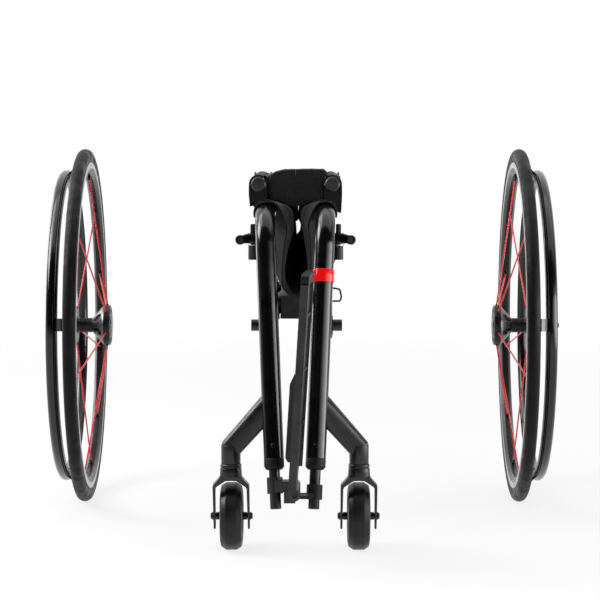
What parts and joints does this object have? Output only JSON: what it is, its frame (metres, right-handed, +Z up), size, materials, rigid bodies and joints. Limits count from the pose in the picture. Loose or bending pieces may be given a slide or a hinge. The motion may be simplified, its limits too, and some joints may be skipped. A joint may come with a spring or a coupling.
{
  "type": "folding active wheelchair",
  "caption": "Folding active wheelchair stored folded, with spoked quick-release rear wheels drawn off, a raised swing-down footplate, slack sling seat and a folded-down backrest.",
  "frame": {"origin": "centre of the bounding box's footprint, on the floor under the casters and tyres", "axes": "+X to the sitter's left, +Y backward, +Z up; the chair faces -Y"},
  "size_m": [0.8626, 0.8693, 0.59],
  "materials": {
    "band_red": "gloss red",
    "black_cloth": "woven, slack",
    "gloss_black": "gloss black lacquer",
    "grey_metal": "bead-blasted grey",
    "moulded_black": "moulded, fine grain",
    "rim_alloy": "black anodised with machined sides",
    "satin_black": "satin black coating",
    "spoke_red": "red anodised spokes on a black hub",
    "steel": "fine turned",
    "tyre_rubber": "matt rubber"
  },
  "bodies": {
    "spine": {"spine_beam": "grey_metal"},
    "left_front_arm": {"left_front_arm": "grey_metal"},
    "left_rear_arm": {"left_rear_arm": "grey_metal"},
    "left_frame": {"footplate_receiver": "moulded_black", "left_axle_plate": "satin_black", "left_backrest_bracket": "satin_black", "left_brake_mount": "grey_metal", "left_colour_band": "band_red", "left_footrest_stub": "satin_black", "left_frame": "gloss_black", "left_leg_sleeve": "moulded_black", "left_pull_loop": "moulded_black", "left_seat_tube_plug": "moulded_black"},
    "left_fork": {"left_caster_axle": "steel", "left_caster_fork": "satin_black"},
    "left_caster": {"left_caster_hub": "moulded_black", "left_caster_tyre": "tyre_rubber"},
    "left_hub_core": {"left_hub_bush": "steel"},
    "left_wheel": {"left_handrim": "gloss_black", "left_rim": "rim_alloy", "left_spoked_hub": "spoke_red", "left_tyre": "tyre_rubber"},
    "left_axle_pin": {"left_axle_pin": "steel"},
    "left_release": {"left_release_button": "grey_metal"},
    "left_brake": {"left_brake_lever": "satin_black", "left_brake_pad": "moulded_black"},
    "left_backrest": {"left_backrest_cane": "satin_black", "left_cane_plug": "grey_metal"},
    "left_back_cloth": {"left_back_upholstery": "black_cloth"},
    "left_sling": {"left_seat_sling": "black_cloth"},
    "right_front_arm": {"right_front_arm": "grey_metal"},
    "right_rear_arm": {"right_rear_arm": "grey_metal"},
    "right_frame": {"footplate_hinge": "grey_metal", "right_axle_plate": "satin_black", "right_backrest_bracket": "satin_black", "right_brake_mount": "grey_metal", "right_footrest_stub": "satin_black", "right_frame": "gloss_black", "right_leg_sleeve": "moulded_black", "right_seat_tube_plug": "moulded_black"},
    "right_fork": {"right_caster_axle": "steel", "right_caster_fork": "satin_black"},
    "right_caster": {"right_caster_hub": "moulded_black", "right_caster_tyre": "tyre_rubber"},
    "right_hub_core": {"right_hub_bush": "steel"},
    "right_wheel": {"right_handrim": "gloss_black", "right_rim": "rim_alloy", "right_spoked_hub": "spoke_red", "right_tyre": "tyre_rubber"},
    "right_axle_pin": {"right_axle_pin": "steel"},
    "right_release": {"right_release_button": "grey_metal"},
    "right_brake": {"right_brake_lever": "satin_black", "right_brake_pad": "moulded_black"},
    "right_backrest": {"right_backrest_cane": "satin_black", "right_cane_plug": "grey_metal"},
    "right_back_cloth": {"right_back_upholstery": "black_cloth"},
    "right_sling": {"right_seat_sling": "black_cloth"},
    "footplate": {"footplate": "satin_black", "footplate_end_cap": "moulded_black"}
  },
  "joints": [
    {"name": "fold", "type": "hinge", "parent": "spine", "child": "left_front_arm", "pos_m": [0.003, 0.01804, 0.356], "axis": [0, 0, 1], "range_deg": [0, 69.45], "deforming": ["left_seat_sling", "left_back_upholstery", "right_seat_sling", "right_back_upholstery"]},
    {"name": "right_front_arm_turn", "type": "hinge", "parent": "spine", "child": "right_front_arm", "pos_m": [-0.021, 0.01804, 0.356], "axis": [0, 0, 1], "range_deg": [-69.5, 0]},
    {"name": "left_rear_arm_turn", "type": "hinge", "parent": "spine", "child": "left_rear_arm", "pos_m": [0.003, 0.218, 0.356], "axis": [0, 0, 1], "range_deg": [0, 69.5]},
    {"name": "right_rear_arm_turn", "type": "hinge", "parent": "spine", "child": "right_rear_arm", "pos_m": [-0.021, 0.218, 0.356], "axis": [0, 0, 1], "range_deg": [-69.5, 0]},
    {"name": "left_frame_turn", "type": "hinge", "parent": "left_front_arm", "child": "left_frame", "pos_m": [0.026, -0.16049, 0.3385], "axis": [0, 0, 1], "range_deg": [-69.5, 0]},
    {"name": "right_frame_turn", "type": "hinge", "parent": "right_front_arm", "child": "right_frame", "pos_m": [-0.044, -0.16049, 0.3385], "axis": [0, 0, 1], "range_deg": [0, 69.5]},
    {"name": "footplate_fold", "type": "hinge", "parent": "right_frame", "child": "footplate", "pos_m": [-0.0091, -0.43448, 0.111], "axis": [0, 1, 0], "range_deg": [0, 86.55]},
    {"name": "left_sling_draw", "type": "slide", "parent": "left_frame", "child": "left_sling", "axis": [-0.8358, 0, 0.549], "range_m": [0, 0.18234]},
    {"name": "left_back_cloth_draw", "type": "slide", "parent": "left_backrest", "child": "left_back_cloth", "axis": [-0.7241, 0, 0.6897], "range_m": [0, 0.21044]},
    {"name": "left_fork_swivel", "type": "hinge", "parent": "left_frame", "child": "left_fork", "pos_m": [0.0868, -0.30052, 0], "axis": [0, 0, 1], "continuous": true},
    {"name": "left_caster_spin", "type": "hinge", "parent": "left_fork", "child": "left_caster", "pos_m": [0.0868, -0.27552, 0.051], "axis": [1, 0, 0], "continuous": true},
    {"name": "left_wheel_fit", "type": "slide", "parent": "left_frame", "child": "left_hub_core", "axis": [-1, 0, 0], "range_m": [0, 0.251]},
    {"name": "left_wheel_spin", "type": "hinge", "parent": "left_hub_core", "child": "left_wheel", "pos_m": [0.362, 0.13948, 0.295], "axis": [1, 0, 0], "continuous": true},
    {"name": "left_pin_travel", "type": "slide", "parent": "left_hub_core", "child": "left_axle_pin", "axis": [-1, 0, 0], "range_m": [0, 0.03]},
    {"name": "left_button_press", "type": "slide", "parent": "left_axle_pin", "child": "left_release", "axis": [-1, 0, 0], "range_m": [0, 0.004], "stiffness_N_per_m": 300},
    {"name": "left_brake_turn", "type": "hinge", "parent": "left_frame", "child": "left_brake", "pos_m": [0.0576, -0.11559, 0], "axis": [0, 0, 1], "range_deg": [0, 68.5]},
    {"name": "left_backrest_turn", "type": "hinge", "parent": "left_frame", "child": "left_backrest", "pos_m": [0.0475, 0.18948, 0.5375], "axis": [-1, 0, 0], "range_deg": [0, 96]},
    {"name": "right_sling_draw", "type": "slide", "parent": "right_frame", "child": "right_sling", "axis": [0.8358, 0, 0.549], "range_m": [0, 0.18234]},
    {"name": "right_back_cloth_draw", "type": "slide", "parent": "right_backrest", "child": "right_back_cloth", "axis": [0.7241, 0, 0.6897], "range_m": [0, 0.21044]},
    {"name": "right_fork_swivel", "type": "hinge", "parent": "right_frame", "child": "right_fork", "pos_m": [-0.1048, -0.30052, 0], "axis": [0, 0, 1], "continuous": true},
    {"name": "right_caster_spin", "type": "hinge", "parent": "right_fork", "child": "right_caster", "pos_m": [-0.1048, -0.27552, 0.051], "axis": [1, 0, 0], "continuous": true},
    {"name": "right_wheel_fit", "type": "slide", "parent": "right_frame", "child": "right_hub_core", "axis": [1, 0, 0], "range_m": [0, 0.233]},
    {"name": "right_wheel_spin", "type": "hinge", "parent": "right_hub_core", "child": "right_wheel", "pos_m": [-0.362, 0.13948, 0.295], "axis": [1, 0, 0], "continuous": true},
    {"name": "right_pin_travel", "type": "slide", "parent": "right_hub_core", "child": "right_axle_pin", "axis": [1, 0, 0], "range_m": [0, 0.03]},
    {"name": "right_button_press", "type": "slide", "parent": "right_axle_pin", "child": "right_release", "axis": [1, 0, 0], "range_m": [0, 0.004], "stiffness_N_per_m": 300},
    {"name": "right_brake_turn", "type": "hinge", "parent": "right_frame", "child": "right_brake", "pos_m": [-0.0756, -0.11559, 0], "axis": [0, 0, -1], "range_deg": [0, 68.5]},
    {"name": "right_backrest_turn", "type": "hinge", "parent": "right_frame", "child": "right_backrest", "pos_m": [-0.0655, 0.18948, 0.5375], "axis": [-1, 0, 0], "range_deg": [0, 96]}
  ],
  "couplings": [
    {"joint": "right_front_arm_turn", "follows": "fold", "ratio": -1},
    {"joint": "left_rear_arm_turn", "follows": "fold", "ratio": 1},
    {"joint": "right_rear_arm_turn", "follows": "fold", "ratio": -1},
    {"joint": "left_frame_turn", "follows": "fold", "ratio": -1},
    {"joint": "right_frame_turn", "follows": "fold", "ratio": 1},
    {"joint": "footplate_fold", "follows": "fold", "ratio": 1.2455},
    {"joint": "left_sling_draw", "follows": "fold", "m_per_rad": 0.15027},
    {"joint": "left_back_cloth_draw", "follows": "fold", "m_per_rad": 0.17345},
    {"joint": "right_sling_draw", "follows": "fold", "m_per_rad": 0.15027},
    {"joint": "right_back_cloth_draw", "follows": "fold", "m_per_rad": 0.17345},
    {"joint": "right_backrest_turn", "follows": "left_backrest_turn", "ratio": 1}
  ]
}
